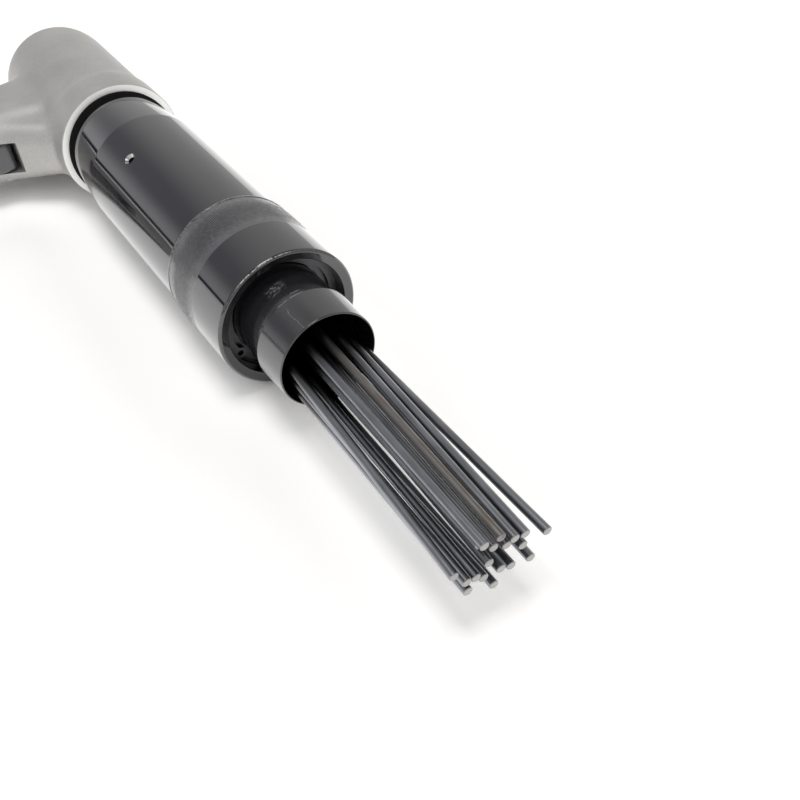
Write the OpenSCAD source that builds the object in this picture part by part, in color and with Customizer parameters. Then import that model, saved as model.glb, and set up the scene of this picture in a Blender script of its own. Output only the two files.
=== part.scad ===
// Air-driven needle scaler with a pistol grip, lying on its left side as it is put down on a bench.
// X runs along the barrel towards the needle tips and Z is up. The bench is the plane Z = 0, and the
// origin lies on it under the middle of the tool. Along the barrel, places are measured from the
// housing's front face, with the grip towards -Y. All sizes are in millimetres.

/* [Housing] */
// Diameter of the housing flange and of the front collar, on which the tool lies
body_d = 52; // [51.5:0.5:54]
// Length of the housing behind its front face
sleeve_len = 86; // [84:1:94]
// Diameter of the sleeve behind the flange
sleeve_d = 50; // [49:0.5:51]
// Length of the flange at the mouth of the sleeve
flange_len = 16; // [16:1:20]
// Thickness of the closed rear wall
rear_wall = 12; // [8:0.5:14]
// Radius of the rounded rear edge
rear_round = 12; // [6:1:14]
// Bore that holds the motor
motor_bore_d = 41; // [40:0.2:41.4]
// Depth of the threaded seat that the barrel screws into
seat_depth = 15; // [10:1:16]

/* [Grip] */
// From the barrel axis to the end of the grip
grip_len = 125; // [120:1:140]
// Width of the grip at its end
grip_w = 32; // [30:0.5:34]
// Width of the grip where it meets the sleeve
grip_root_w = 34; // [32:0.5:38]
// Width of the grip at its waist
waist_w = 30.5; // [29:0.5:32]
// Depth of the grip, front to back, where it meets the sleeve
grip_root_depth = 50; // [49:1:54]
// Depth of the grip at its waist
waist_depth = 38; // [37:1:41]
// Depth of the grip at its end
grip_end_depth = 42; // [42:1:48]
// From the barrel axis to the waist
waist_drop = 76; // [70:1:84]
// From the front face back to the middle of the grip
grip_back = 42; // [42:0.5:43]
// How far the end of the grip is swept back
grip_sweep = 4; // [2:0.5:6]
// Rounding of the grip's corners
grip_round = 13; // [9:0.5:14]
// Rounding of the grip's end edge
grip_edge = 3; // [1:0.5:5]

/* [Trigger and throttle] */
// Width of the trigger
trigger_w = 13.5; // [12:0.5:17]
// From the pivot forward to the trigger's tip
trigger_reach = 11; // [10:0.5:13]
// From the pivot down to the tip of the trigger
trigger_drop = 38; // [34:1:40]
// From the front face back to the pivot
pivot_back = 27; // [26.5:0.5:28]
// From the barrel axis down to the pivot
pivot_drop = 45.5; // [45:0.5:48]
// Diameter of the pivot pin
pivot_d = 4; // [3:0.5:5]
// Swing of the trigger, in degrees
trigger_swing = 9; // [4:1:10]
// From the pivot down to the throttle valve's stem
stem_drop = 16; // [14:0.5:18]
// Diameter of the stem
stem_d = 5; // [4:0.5:6]
// Bore for the throttle bushing and its plug
throttle_bore_d = 14; // [13:0.5:15]
// Length of the throttle bushing
bushing_len = 10; // [9:0.5:11]
// Diameter of the valve's head
valve_head_d = 9.6; // [9:0.2:11]
// Thickness of the valve's head
valve_head_t = 2.8; // [2:0.2:3.4]
// Wire of the throttle spring
throttle_wire = 0.7; // [0.5:0.1:0.8]
// Turns of the throttle spring
throttle_turns = 5; // [4:1:6]

/* [Air inlet and regulator] */
// Tapping bore of the pipe thread in the inlet
inlet_d = 11.2; // [10.8:0.1:12]
// Depth of the pipe thread
inlet_depth = 15; // [12:1:18]
// Hexagon of the inlet, across its flats
inlet_hex = 22; // [20:0.5:24]
// Length of the hexagon
inlet_hex_len = 9; // [6:0.5:12]
// Thread that holds the inlet in the grip
inlet_thread_d = 18; // [16:0.5:19]
// Depth of that thread
inlet_thread_len = 16; // [14:1:17]
// Air way up the grip
air_way_d = 7; // [5:0.5:8]
// From the end of the grip up to the regulator
regulator_rise = 25; // [24:0.5:28]
// Shank of the regulator screw
regulator_d = 9; // [8:0.2:9.6]
// Head of the regulator screw
regulator_head_d = 14; // [12:0.5:15]
// Length of that head
regulator_head_len = 5; // [3:0.5:7]

/* [Motor] */
// Length of the valve block
block_len = 12; // [11:0.5:14]
// Length of the valve cap
cap_len = 8; // [6:0.5:10]
// Diameter of the flat valve disc
valve_disc_d = 25; // [20:0.5:27]
// Thickness of the valve disc
valve_disc_t = 1.3; // [1:0.1:1.6]
// Lift of the valve disc
valve_lift = 0.9; // [0.5:0.1:1.2]
// Length of the cylinder
cylinder_len = 112; // [108:1:114]
// Bore of the cylinder
cylinder_bore_d = 24; // [22:0.5:26]
// Length of the anvil guide at the front of the cylinder
guide_len = 12; // [10:1:14]
// Length of the piston
piston_len = 44; // [40:1:46]
// Stroke of the piston
piston_stroke = 30; // [26:1:32]
// Diameter of the anvil's shank
shank_d = 17; // [15:0.5:18]
// Length of the anvil's head
anvil_head_len = 16; // [12:1:17]
// Thickness of the rubber buffer
buffer_t = 3.7; // [2.5:0.1:4.5]
// Travel of the anvil and the needle holder at each blow
blow_travel = 6; // [3:0.5:8]

/* [Barrel] */
// Diameter of the barrel tube
barrel_d = 50; // [49:0.5:51]
// Length of the barrel tube that shows
barrel_len = 101; // [97:1:107]
// Bore of the barrel tube
barrel_bore_d = 43; // [42.4:0.1:43.4]
// Diameter of the threaded spigot at the rear
rear_spigot_d = 43.4; // [43:0.2:44]
// Diameter of the threaded spigot at the front
front_spigot_d = 46.8; // [46:0.2:47.6]
// Thickness of the seal ring between housing and barrel
seal_t = 6; // [5:0.2:7]
// Diameter of the seal ring, and of the barrel's tapered rear where it meets the ring
seal_d = 45.6; // [44.8:0.2:47]
// Length of the barrel's tapered rear
taper_len = 25; // [17:1:29]
// Number of exhaust holes around the barrel
exhaust_count = 4; // [2:1:6]
// Diameter of an exhaust hole
exhaust_d = 2.8; // [2:0.2:4]
// Diameter of its countersink
exhaust_sink_d = 5.8; // [4.4:0.2:7]
// From the housing to the exhaust holes
exhaust_x = 52.5; // [40:0.5:70]
// Turn of the first exhaust hole from the upper side, in degrees
exhaust_turn = 34.6; // [0:0.2:90]

/* [Front collar and nozzle] */
// Length of the front collar
collar_len = 42; // [40:1:48]
// Length of the collar's smooth front
collar_smooth_len = 21; // [16:1:24]
// Depth of the collar's knurled band
knurl_depth = 0.3; // [0.2:0.05:0.5]
// Depth of the collar's thread on the barrel
collar_thread_len = 28; // [24:1:29]
// Bore in the front of the collar
collar_bore_d = 44; // [43.4:0.2:45]
// From the collar's front face back to the retaining ring
circlip_depth = 6.1; // [4:0.1:8]
// Thickness of the retaining ring
circlip_t = 1.6; // [1.2:0.1:2]
// Width of the retaining ring's band
circlip_band = 3.6; // [3:0.1:4.4]
// Turn of the retaining ring's gap, in degrees
circlip_turn = 235; // [0:5:355]
// Thickness of the washer behind the retaining ring
washer_t = 1.5; // [1:0.1:2]
// Diameter of the nozzle's neck
neck_d = 34.2; // [33.6:0.1:35]
// Bore of the nozzle's neck
neck_bore_d = 31.4; // [31.4:0.1:32]
// Diameter of the cup at its rear edge
cup_rear_d = 36.6; // [36:0.2:38]
// Diameter of the cup at its mouth
cup_front_d = 35.4; // [35:0.2:38]
// Bore of the cup
cup_bore_d = 32.8; // [32.4:0.1:33.4]
// From the collar's front face to the cup
cup_gap = 10.7; // [9.5:0.1:14]
// Length of the cup
cup_len = 15.7; // [12:0.1:20]
// Thickness of the flange that keeps the nozzle in
nozzle_flange_t = 3.5; // [2.5:0.1:4.5]
// How far the nozzle can be pushed in
nozzle_travel = 8; // [4:0.5:9]

/* [Needles] */
// Diameter of a needle
needle_d = 3; // [2.6:0.1:3.2]
// Length of a needle with its head
needle_len = 180; // [170:1:190]
// Diameter of a needle's head
head_d = 4.8; // [4.4:0.1:5.4]
// Length of a needle's head
head_len = 3; // [2:0.2:4]
// Free play of each needle in the holder
needle_play = 9; // [6:0.5:10]
// Thickness of the needle holder
holder_len = 10; // [8:0.5:11]
// Radius of the inner ring of needles
inner_ring_r = 6; // [5.6:0.1:6.2]
// Radius of the outer ring of needles
outer_ring_r = 12; // [11.6:0.1:12.2]
// Wire of the needle spring
spring_wire = 2.4; // [2:0.1:2.8]
// Turns of the needle spring
spring_turns = 6; // [4:1:7]

/* [Clearances] */
// Between round pieces that slide or lie loose in a bore
loose_fit = 0.3; // [0.3:0.05:0.4]
// Between a pin, stem or piston and its bore
running_fit = 0.06; // [0.03:0.01:0.1]
// Between threads, and between a pressed piece and its seat
thread_fit = 0.1; // [0.04:0.02:0.2]
// Between flat faces that stop against each other
stop_gap = 0.3; // [0.2:0.05:0.4]

/* [Hidden] */
$fn = 96;

// Where each needle's tip lies, as it droops and spreads: across, up, and how far it is drawn back.
// The first is the middle needle, then come the inner ring, turned by half a step, and the outer
// ring, both counted from +Y.
needle_tips = [
    [-5, -4.5, 1],
    [1.5, -2.5, 2], [-3, -0.5, 2], [-6.5, 1, 4], [-9.5, -7, 0.5], [-1.5, -8, 0], [6.5, -4.5, 1],
    [14, -2.5, 0], [6.5, 0.5, 0.5], [2.5, 1.5, 0], [-2, 4.5, 0.5], [-8, 5.5, 0], [-16.5, -2.5, 1],
    [-13, -6, 0], [-12.5, -10, 0], [-6.5, -9.5, 1], [-3.5, -13.5, 0], [2.5, -10, 0.5], [9, -10.5, 0],
];
needle_count = len(needle_tips);
inner_count = 6;
outer_count = needle_count - 1 - inner_count;

function needle_name(n) = str("needle_", n < 10 ? "0" : "", n);

// Places along the barrel, from the rear to the front
body_r = body_d / 2;
sleeve_r = sleeve_d / 2;
motor_r = motor_bore_d / 2;
stack_r = motor_r - loose_fit;
x_block = rear_wall - sleeve_len;
x_cap = x_block + block_len;
x_cylinder = x_cap + cap_len;
x_cylinder_front = x_cylinder + cylinder_len;
x_guide = x_cylinder_front - guide_len;
x_piston = x_cylinder + 2 * stop_gap;
x_shank = x_piston + piston_len + piston_stroke + 2 * stop_gap;
x_anvil_head = x_cylinder_front + buffer_t + stop_gap;
x_anvil_face = x_anvil_head + anvil_head_len;
x_head = x_anvil_face + needle_play + 5 * stop_gap;
x_holder = x_head + head_len + stop_gap;
x_holder_mid = x_holder + holder_len / 2;
x_tip = x_head + needle_len;
x_barrel = seal_t;
x_collar = x_barrel + barrel_len;
x_collar_step = x_collar + collar_thread_len;
x_collar_face = x_collar + collar_len;
x_circlip = x_collar_face - circlip_depth - circlip_t;
x_washer = x_circlip - stop_gap / 2 - washer_t;
x_nozzle = x_washer - stop_gap / 2 - nozzle_flange_t;
x_cup = x_collar_face + cup_gap;
x_mouth = x_cup + cup_len;

// Places in the grip
x_grip_end = -grip_back - grip_sweep;
x_air = x_grip_end - 3;
x_pivot = -pivot_back;
trigger_boss_r = 5.5;
trigger_back = 1;
slot_depth = 11;
x_slot = x_pivot - slot_depth;
y_stem = -pivot_drop - stem_drop;
slot_w = trigger_w + 2 * loose_fit;
slot_top = pivot_drop - trigger_boss_r - 2 * stop_gap;
slot_len = trigger_boss_r + trigger_drop + 5;
x_stem = x_pivot + trigger_back - 2 * stop_gap;
x_bushing_end = x_slot - bushing_len;
x_valve_head = x_bushing_end - stop_gap;
stem_travel = stem_drop * trigger_swing * PI / 180;
x_plug = x_valve_head - valve_head_t - stem_travel - 4 * stop_gap;
plug_pocket = 4.5;
plug_thread_len = 9;
x_plug_head = x_plug - plug_thread_len;
plug_head_len = 3.4;
throttle_r = throttle_bore_d / 2;
plug_seat_r = throttle_r + 2.2;
throttle_coil_r = 2.9;
y_regulator = regulator_rise - grip_len;
x_regulator_seat = x_grip_end - grip_end_depth / 2 + 2;
inlet_pad = 3;
inlet_pad_r = 13;
inlet_end = grip_len + inlet_pad + inlet_hex_len;

// The tool rolls on its barrel until the grip's side edge meets the bench
edge_len = grip_len - grip_edge;
rest_lean = asin(body_r / norm([edge_len, grip_w / 2])) - atan(grip_w / 2 / edge_len);

// The middle of the tool's box, over which the origin lies
x_middle = (x_tip - sleeve_len) / 2;
y_middle = (body_r - inlet_end * cos(rest_lean) - inlet_hex / 2 * sin(rest_lean)) / 2;

// Puts a piece of the barrel in its place
module on_barrel() {
    translate([-x_middle, -y_middle, body_r])
        children();
}

// Puts a piece of the housing and grip in its place, leaning as the tool lies
module in_hand() {
    on_barrel()
        rotate([rest_lean, 0, 0])
            children();
}

// A turned piece along X, from points of radius and place
module turned(points) {
    rotate([0, 90, 0])
        rotate_extrude()
            polygon(points);
}

// A round bar along X
module bar(from, to, r) {
    translate([from, 0, 0])
        rotate([0, 90, 0])
            cylinder(r = r, h = to - from);
}

// A round bar down the grip, along -Y
module drop_bar(x, from, to, r) {
    translate([x, -from, 0])
        rotate([90, 0, 0])
            cylinder(r = r, h = to - from);
}

// A plain ring along X
module ring(from, to, r_out, r_in) {
    turned([[r_in, from], [r_out, from], [r_out, to], [r_in, to]]);
}

// A rubber ring of round section around X
module o_ring(x, r, wire_r) {
    translate([x, 0, 0])
        rotate([0, 90, 0])
            rotate_extrude()
                translate([r, 0])
                    circle(r = wire_r, $fn = 32);
}

// Middle points of a coil spring along X
coil_steps = 8;
function coil_line(from, to, r, turns) = [
    for (i = [0:turns * coil_steps])
        let (a = 360 * i / coil_steps)
            [from + (to - from) * i / (turns * coil_steps), r * cos(a), r * sin(a)]
];

// Least gap between one turn of a coil and the next
function coil_gap(line, wire_r) =
    min([for (i = [0:len(line) - coil_steps - 1]) norm(line[i + coil_steps] - line[i])]) - 2 * wire_r;

// One unbroken tube along a coil's line
coil_sides = 6;
module coil(line, wire_r) {
    last = len(line) - 1;
    points = [
        for (p = line)
            let (out = [0, p[1], p[2]] / norm([p[1], p[2]]))
                for (k = [0:coil_sides - 1])
                    p + wire_r * (cos(360 * k / coil_sides) * out + [sin(360 * k / coil_sides), 0, 0])
    ];
    skin = [
        for (i = [0:last - 1])
            for (k = [0:coil_sides - 1])
                let (a = i * coil_sides + k)
                let (b = i * coil_sides + (k + 1) % coil_sides)
                    each [[a, b, a + coil_sides], [b, b + coil_sides, a + coil_sides]]
    ];
    first_cap = [for (k = [1:coil_sides - 2]) [0, k + 1, k]];
    end = last * coil_sides;
    last_cap = [for (k = [1:coil_sides - 2]) [end, end + k, end + k + 1]];
    polyhedron(points, concat(skin, first_cap, last_cap));
}

// A thin slice of the grip with rounded corners, for the hulls of its shell
slice_t = 0.2;
module grip_slice(x, y, depth, w, corner) {
    r = min(corner, w / 2 - 0.5);
    for (sx = [-1, 1])
        for (sz = [-1, 1])
            translate([x + sx * (depth / 2 - r), -y, sz * (w / 2 - r)])
                rotate([90, 0, 0])
                    cylinder(r = r, h = slice_t, $fn = 32);
}

root_drop = 14;
neck_front = 3;
neck_foot_front = 19;
neck_depth = 24;
neck_w = 24;
x_waist = -grip_back - grip_sweep / 2;
module grip_shell() {
    hull() {
        grip_slice(-grip_back, root_drop, grip_root_depth, grip_root_w, grip_round);
        grip_slice(x_waist, waist_drop, waist_depth, waist_w, grip_round);
    }
    // Neck that carries the grip's front up to the flange
    hull() {
        grip_slice(-neck_front - neck_depth / 2, root_drop + 4, neck_depth, neck_w, neck_w / 2 - 1);
        grip_slice(-neck_foot_front - neck_depth / 2, slot_top + 1, neck_depth, neck_w + 4, neck_w / 2 - 1);
    }
    hull() {
        grip_slice(x_waist, waist_drop, waist_depth, waist_w, grip_round);
        grip_slice(x_grip_end, edge_len - slice_t, grip_end_depth, grip_w, grip_round);
    }
    hull() {
        grip_slice(x_grip_end, edge_len - slice_t, grip_end_depth, grip_w, grip_round);
        grip_slice(x_grip_end, grip_len - slice_t, grip_end_depth - 2 * grip_edge, grip_w - 2 * grip_edge,
            grip_round - grip_edge);
    }
}

// Outline of the sleeve, with its flange and its rounded rear edge
flange_blend = 1;
round_step = 9;
sleeve_outline = concat(
    [[0, -sleeve_len]],
    [
        for (a = [0:round_step:90])
            [sleeve_r - rear_round + rear_round * sin(a), rear_round - sleeve_len - rear_round * cos(a)]
    ],
    [
        [sleeve_r, -flange_len - flange_blend], [body_r, -flange_len], [body_r, -flange_blend],
        [body_r - flange_blend, 0], [0, 0],
    ]
);

gallery_r = 3;
x_outlet = x_bushing_end + 3;
module housing() {
    color("silver")
        in_hand()
            difference() {
                union() {
                    turned(sleeve_outline);
                    grip_shell();
                    drop_bar(x_air, edge_len, grip_len + inlet_pad, inlet_pad_r);
                }
                bar(x_block, 1, motor_r);
                bar(-seat_depth, 1, rear_spigot_d / 2 + thread_fit);
                // Slot for the trigger, and the holes for its pin
                translate([x_slot, -slot_top - slot_len, -slot_w / 2])
                    cube([grip_root_depth, slot_len, slot_w]);
                translate([x_pivot, -pivot_drop, -grip_root_w])
                    cylinder(d = pivot_d + 2 * running_fit, h = 2 * grip_root_w);
                // Throttle bore, open behind for the plug
                translate([0, y_stem, 0]) {
                    bar(x_slot - grip_root_depth, x_slot + 1, throttle_r);
                    bar(x_slot - grip_root_depth, x_plug_head, plug_seat_r);
                }
                // Air ways: up the grip to the throttle, and from there along the sleeve to the motor
                drop_bar(x_air, -y_stem, grip_len, air_way_d / 2);
                drop_bar(x_outlet, motor_r, -y_stem, gallery_r - 0.5);
                translate([0, -motor_r - 1, 0])
                    bar(x_cap - block_len / 3, x_outlet + gallery_r, gallery_r);
                drop_bar(x_air, grip_len - inlet_thread_len - 2, grip_len + inlet_pad + 1,
                    inlet_thread_d / 2 + thread_fit);
                // Regulator bore with its flat seat
                translate([0, y_regulator, 0]) {
                    bar(x_regulator_seat - grip_end_depth, x_air, regulator_d / 2 + running_fit);
                    bar(x_regulator_seat - grip_end_depth, x_regulator_seat, regulator_head_d / 2 + 1);
                }
            }
}

// The trigger, about its pivot, with a hollow for the finger between its brow and its tip
finger_r = 24;
finger_dip = 3;
brow_drop = 6;
tip_len = 5;
tip_t = 9;
back_place = 0.62;
module trigger() {
    inner = trigger_boss_r / 2;
    brow = [trigger_boss_r, -brow_drop];
    tip = [trigger_reach, tip_len - trigger_drop];
    forward = [brow[1] - tip[1], tip[0] - brow[0]] / norm(tip - brow);
    finger = (brow + tip) / 2 + (finger_r - finger_dip) * forward;
    color("#1c1c1e")
        in_hand()
            translate([x_pivot, -pivot_drop, -trigger_w / 2])
                difference() {
                    union() {
                        cylinder(r = trigger_boss_r, h = trigger_w);
                        linear_extrude(trigger_w)
                            polygon([
                                [-inner, inner], [inner, trigger_boss_r - 0.5],
                                [trigger_boss_r, trigger_boss_r - 1.5], brow, tip,
                                [trigger_reach - tip_len / 2, -trigger_drop],
                                [trigger_reach - tip_t, -trigger_drop],
                                [trigger_back, -trigger_drop * back_place], [trigger_back, -1.4 * inner],
                                [-inner, -inner],
                            ]);
                    }
                    translate([finger[0], finger[1], -1])
                        cylinder(r = finger_r, h = trigger_w + 2, $fn = 128);
                    translate([0, 0, -1])
                        cylinder(d = pivot_d + 2 * running_fit, h = trigger_w + 2);
                }
}

pin_inset = 2.2;
module trigger_pin() {
    pin_len = waist_w - 2 * pin_inset;
    color("#9a9da1")
        in_hand()
            translate([x_pivot, -pivot_drop, -pin_len / 2])
                cylinder(d = pivot_d, h = pin_len);
}

bushing_r = throttle_r - running_fit;
bushing_o_ring_r = 0.75;
x_bushing_ring = x_slot - 2.5;
module throttle_bushing() {
    stem_r = stem_d / 2 + running_fit;
    cavity_r = stem_r + 1.6;
    x_cavity = x_bushing_end + bushing_len * 0.6;
    groove_half = bushing_o_ring_r + 0.15;
    groove_r = throttle_r - 2 * bushing_o_ring_r - 0.3;
    color("#b08d4c")
        in_hand()
            translate([0, y_stem, 0])
                difference() {
                    turned([
                        [stem_r, x_slot], [bushing_r, x_slot], [bushing_r, x_bushing_ring + groove_half],
                        [groove_r, x_bushing_ring + groove_half], [groove_r, x_bushing_ring - groove_half],
                        [bushing_r, x_bushing_ring - groove_half], [bushing_r, x_bushing_end],
                        [cavity_r, x_bushing_end], [cavity_r, x_cavity], [stem_r, x_cavity],
                    ]);
                    translate([x_outlet, 0, 0])
                        rotate([-90, 0, 0])
                            cylinder(r = gallery_r - 1.2, h = throttle_r);
                }
}

module throttle_o_ring() {
    color("#202022")
        in_hand()
            translate([0, y_stem, 0])
                o_ring(x_bushing_ring, throttle_r - bushing_o_ring_r - 0.2, bushing_o_ring_r);
}

module throttle_valve() {
    color("#b5b8bb")
        in_hand()
            translate([0, y_stem, 0]) {
                turned([
                    [0, x_valve_head - valve_head_t - 1.5], [throttle_coil_r - throttle_wire - 0.4,
                    x_valve_head - valve_head_t - 1.5],
                    [throttle_coil_r - throttle_wire - 0.4, x_valve_head - valve_head_t],
                    [valve_head_d / 2, x_valve_head - valve_head_t], [valve_head_d / 2, x_valve_head],
                    [stem_d / 2, x_valve_head], [stem_d / 2, x_stem - 0.6], [stem_d / 2 - 0.6, x_stem],
                    [0, x_stem],
                ]);
            }
}

throttle_coil_line = coil_line(
    x_plug - plug_pocket + throttle_wire / 2 + 0.1,
    x_valve_head - valve_head_t - throttle_wire / 2 - 0.1,
    throttle_coil_r, throttle_turns
);
module throttle_spring() {
    color("#8f9296")
        in_hand()
            translate([0, y_stem, 0])
                coil(throttle_coil_line, throttle_wire / 2);
}

module throttle_plug() {
    pocket_r = throttle_coil_r + throttle_wire / 2 + 0.4;
    head_r = plug_seat_r - 1;
    socket_depth = 3;
    socket_r = 3.5;
    color("#6d7074")
        in_hand()
            translate([0, y_stem, 0])
                difference() {
                    union() {
                        bar(x_plug_head, x_plug, throttle_r - running_fit);
                        bar(x_plug_head - plug_head_len, x_plug_head, head_r);
                    }
                    bar(x_plug - plug_pocket, x_plug + 1, pocket_r);
                    translate([x_plug_head - plug_head_len - 1, 0, 0])
                        rotate([0, 90, 0])
                            cylinder(r = socket_r, h = socket_depth + 1, $fn = 6);
                }
}

module air_inlet() {
    thread_top = grip_len - inlet_thread_len;
    color("#85888c")
        in_hand()
            difference() {
                union() {
                    drop_bar(x_air, thread_top, grip_len + inlet_pad, inlet_thread_d / 2);
                    translate([x_air, -grip_len - inlet_pad, 0])
                        rotate([90, 0, 0])
                            cylinder(r = inlet_hex / sqrt(3), h = inlet_hex_len, $fn = 6);
                }
                drop_bar(x_air, thread_top - 1, inlet_end, air_way_d / 2);
                drop_bar(x_air, inlet_end - inlet_depth, inlet_end + 1, inlet_d / 2);
            }
}

screen_t = 1;
module inlet_screen() {
    screen_r = inlet_thread_d / 2 - loose_fit;
    screen_top = grip_len - inlet_thread_len - 2 + stop_gap;
    hole_r = 0.7;
    color("#a8925f")
        in_hand()
            difference() {
                drop_bar(x_air, screen_top, screen_top + screen_t, screen_r);
                for (n = [0:7])
                    translate([1.6 * cos(45 * n), 0, 1.6 * sin(45 * n)] * (1 + n % 2 * 0.6))
                        drop_bar(x_air, screen_top - 1, screen_top + screen_t + 1, hole_r);
            }
}

regulator_ring_r = 0.55;
x_regulator_ring = x_regulator_seat + 4;
module regulator_screw() {
    shank_r = regulator_d / 2;
    groove_r = shank_r - 2 * regulator_ring_r - 0.1;
    groove_half = regulator_ring_r + 0.12;
    head_r = regulator_head_d / 2;
    x_end = x_air - air_way_d / 2;
    x_top = x_regulator_seat - stop_gap - regulator_head_len;
    slot_h = 1.6;
    color("#6d7074")
        in_hand()
            translate([0, y_regulator, 0])
                difference() {
                    turned([
                        [0, x_top], [head_r - 0.8, x_top], [head_r, x_top + 0.8],
                        [head_r, x_regulator_seat - stop_gap], [shank_r, x_regulator_seat - stop_gap],
                        [shank_r, x_regulator_ring - groove_half], [groove_r, x_regulator_ring - groove_half],
                        [groove_r, x_regulator_ring + groove_half], [shank_r, x_regulator_ring + groove_half],
                        [shank_r, x_end - 2], [shank_r - 2, x_end], [0, x_end],
                    ]);
                    translate([x_top - 1, -slot_h / 2, -regulator_head_d])
                        cube([2.5, slot_h, 2 * regulator_head_d]);
                }
}

module regulator_o_ring() {
    color("#202022")
        in_hand()
            translate([0, y_regulator, 0])
                o_ring(x_regulator_ring, regulator_d / 2 - regulator_ring_r - 0.02, regulator_ring_r);
}

// Motor: valve block, flat valve, cap, cylinder, piston and anvil
pocket_depth = valve_disc_t + valve_lift + 2 * stop_gap;
dowel_d = 3;
dowel_ring_r = 16.5;
dowel_bite = 8;
module dowel_holes(from, to, r) {
    for (side = [-1, 1])
        translate([0, 0, side * dowel_ring_r])
            bar(from, to, r);
}

module valve_block() {
    x_way = x_cap - block_len / 3;
    color("#7c8084")
        in_hand()
            difference() {
                bar(x_block, x_cap, stack_r);
                bar(x_cap - pocket_depth, x_cap + 1, valve_disc_d / 2 + loose_fit);
                bar(x_way - gallery_r, x_cap, gallery_r + 1);
                drop_bar(x_way - 1, 0, stack_r + 1, gallery_r - 0.5);
                dowel_holes(x_cap - dowel_bite, x_cap + 1, dowel_d / 2 + running_fit);
            }
}

module valve_disc() {
    x_rest = x_cap - pocket_depth + stop_gap;
    color("#c3c5c7")
        in_hand()
            bar(x_rest, x_rest + valve_disc_t, valve_disc_d / 2);
}

port_ring_r = 8;
cap_port_r = 1.6;
module valve_cap() {
    color("#7c8084")
        in_hand()
            difference() {
                bar(x_cap, x_cylinder, stack_r);
                for (a = [0:90:270])
                    rotate([a, 0, 0])
                        translate([0, port_ring_r, 0])
                            bar(x_cap - 1, x_cylinder + 1, cap_port_r);
                dowel_holes(x_cap - 1, x_cylinder + 1, dowel_d / 2 + running_fit);
            }
}

module valve_dowels() {
    color("#b5b8bb")
        in_hand()
            dowel_holes(x_cap - dowel_bite + stop_gap, x_cylinder + dowel_bite - stop_gap, dowel_d / 2);
}

port_place = 0.6;
module cylinder_barrel() {
    port_r = 2.5;
    x_port = x_cylinder + cylinder_len * port_place;
    color("#8a8d91")
        in_hand()
            difference() {
                bar(x_cylinder, x_cylinder_front, stack_r);
                bar(x_cylinder - 1, x_guide, cylinder_bore_d / 2);
                bar(x_guide - 1, x_cylinder_front + 1, shank_d / 2 + running_fit);
                dowel_holes(x_cylinder - 1, x_cylinder + dowel_bite, dowel_d / 2 + running_fit);
                for (a = [45:90:315])
                    rotate([a, 0, 0])
                        translate([x_port, 0, 0])
                            cylinder(r = port_r, h = body_r);
            }
}

module piston() {
    r = cylinder_bore_d / 2 - running_fit;
    edge = 1;
    groove = 0.6;
    groove_w = 2;
    x_end = x_piston + piston_len;
    color("#a9acb0")
        in_hand()
            difference() {
                turned([
                    [0, x_piston], [r - edge, x_piston], [r, x_piston + edge],
                    [r, x_end - edge], [r - edge, x_end], [0, x_end],
                ]);
                for (share = [0.2, 0.8])
                    ring(x_piston + piston_len * share, x_piston + piston_len * share + groove_w, r + 1,
                        r - groove);
            }
}

module anvil() {
    r = shank_d / 2;
    head_r = barrel_bore_d / 2 - loose_fit;
    edge = 1;
    color("#75787c")
        on_barrel()
            turned([
                [0, x_shank], [r - edge, x_shank], [r, x_shank + edge], [r, x_anvil_head],
                [head_r - edge, x_anvil_head], [head_r, x_anvil_head + edge],
                [head_r, x_anvil_face - edge], [head_r - edge, x_anvil_face], [0, x_anvil_face],
            ]);
}

module anvil_buffer() {
    color("#202022")
        on_barrel()
            ring(x_cylinder_front, x_cylinder_front + buffer_t, stack_r - 1, shank_d / 2 + loose_fit);
}

// Barrel group
module barrel_seal() {
    color("#111112")
        on_barrel()
            ring(0, seal_t, seal_d / 2, rear_spigot_d / 2 + thread_fit);
}

module barrel() {
    r = barrel_d / 2;
    bore_r = barrel_bore_d / 2;
    rear_r = rear_spigot_d / 2;
    front_r = front_spigot_d / 2;
    x_rear = thread_fit - seat_depth;
    x_front = x_collar_step - thread_fit;
    edge = 0.6;
    sink = (exhaust_sink_d - exhaust_d) / 2;
    color("#242428")
        on_barrel()
            difference() {
                turned([
                    [motor_r, x_rear], [rear_r, x_rear], [rear_r, x_barrel], [seal_d / 2, x_barrel],
                    [r, x_barrel + taper_len], [r, x_collar - edge], [r - edge, x_collar],
                    [front_r, x_collar], [front_r, x_front], [bore_r, x_front],
                    [bore_r, x_barrel + taper_len], [motor_r, x_barrel],
                ]);
                for (n = [0:exhaust_count - 1])
                    rotate([exhaust_turn + 360 * n / exhaust_count, 0, 0])
                        translate([exhaust_x, 0, 0]) {
                            cylinder(d = exhaust_d, h = r + 1);
                            translate([0, 0, r - sink])
                                cylinder(d1 = exhaust_d, d2 = exhaust_sink_d + 2, h = sink + 1);
                        }
            }
}

groove_d = collar_bore_d + 2.4;
collar_edge = 0.8;
module front_collar() {
    r = body_r;
    bore_r = collar_bore_d / 2;
    thread_r = front_spigot_d / 2 + thread_fit;
    edge = collar_edge;
    knurl_r = r - knurl_depth;
    x_knurl_end = x_collar_face - collar_smooth_len;
    x_groove = x_circlip - thread_fit;
    x_groove_end = x_circlip + circlip_t + thread_fit;
    color("#2a2a2d")
        on_barrel()
            turned([
                [thread_r, x_collar], [r - edge, x_collar], [r, x_collar + edge], [r, x_collar + 2 * edge],
                [knurl_r, x_collar + 2 * edge + 0.2], [knurl_r, x_knurl_end - 0.2], [r, x_knurl_end],
                [r, x_collar_face - edge], [r - edge, x_collar_face], [bore_r, x_collar_face],
                [bore_r, x_groove_end], [groove_d / 2, x_groove_end], [groove_d / 2, x_groove],
                [bore_r, x_groove], [bore_r, x_collar_step], [thread_r, x_collar_step],
            ]);
}

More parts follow.
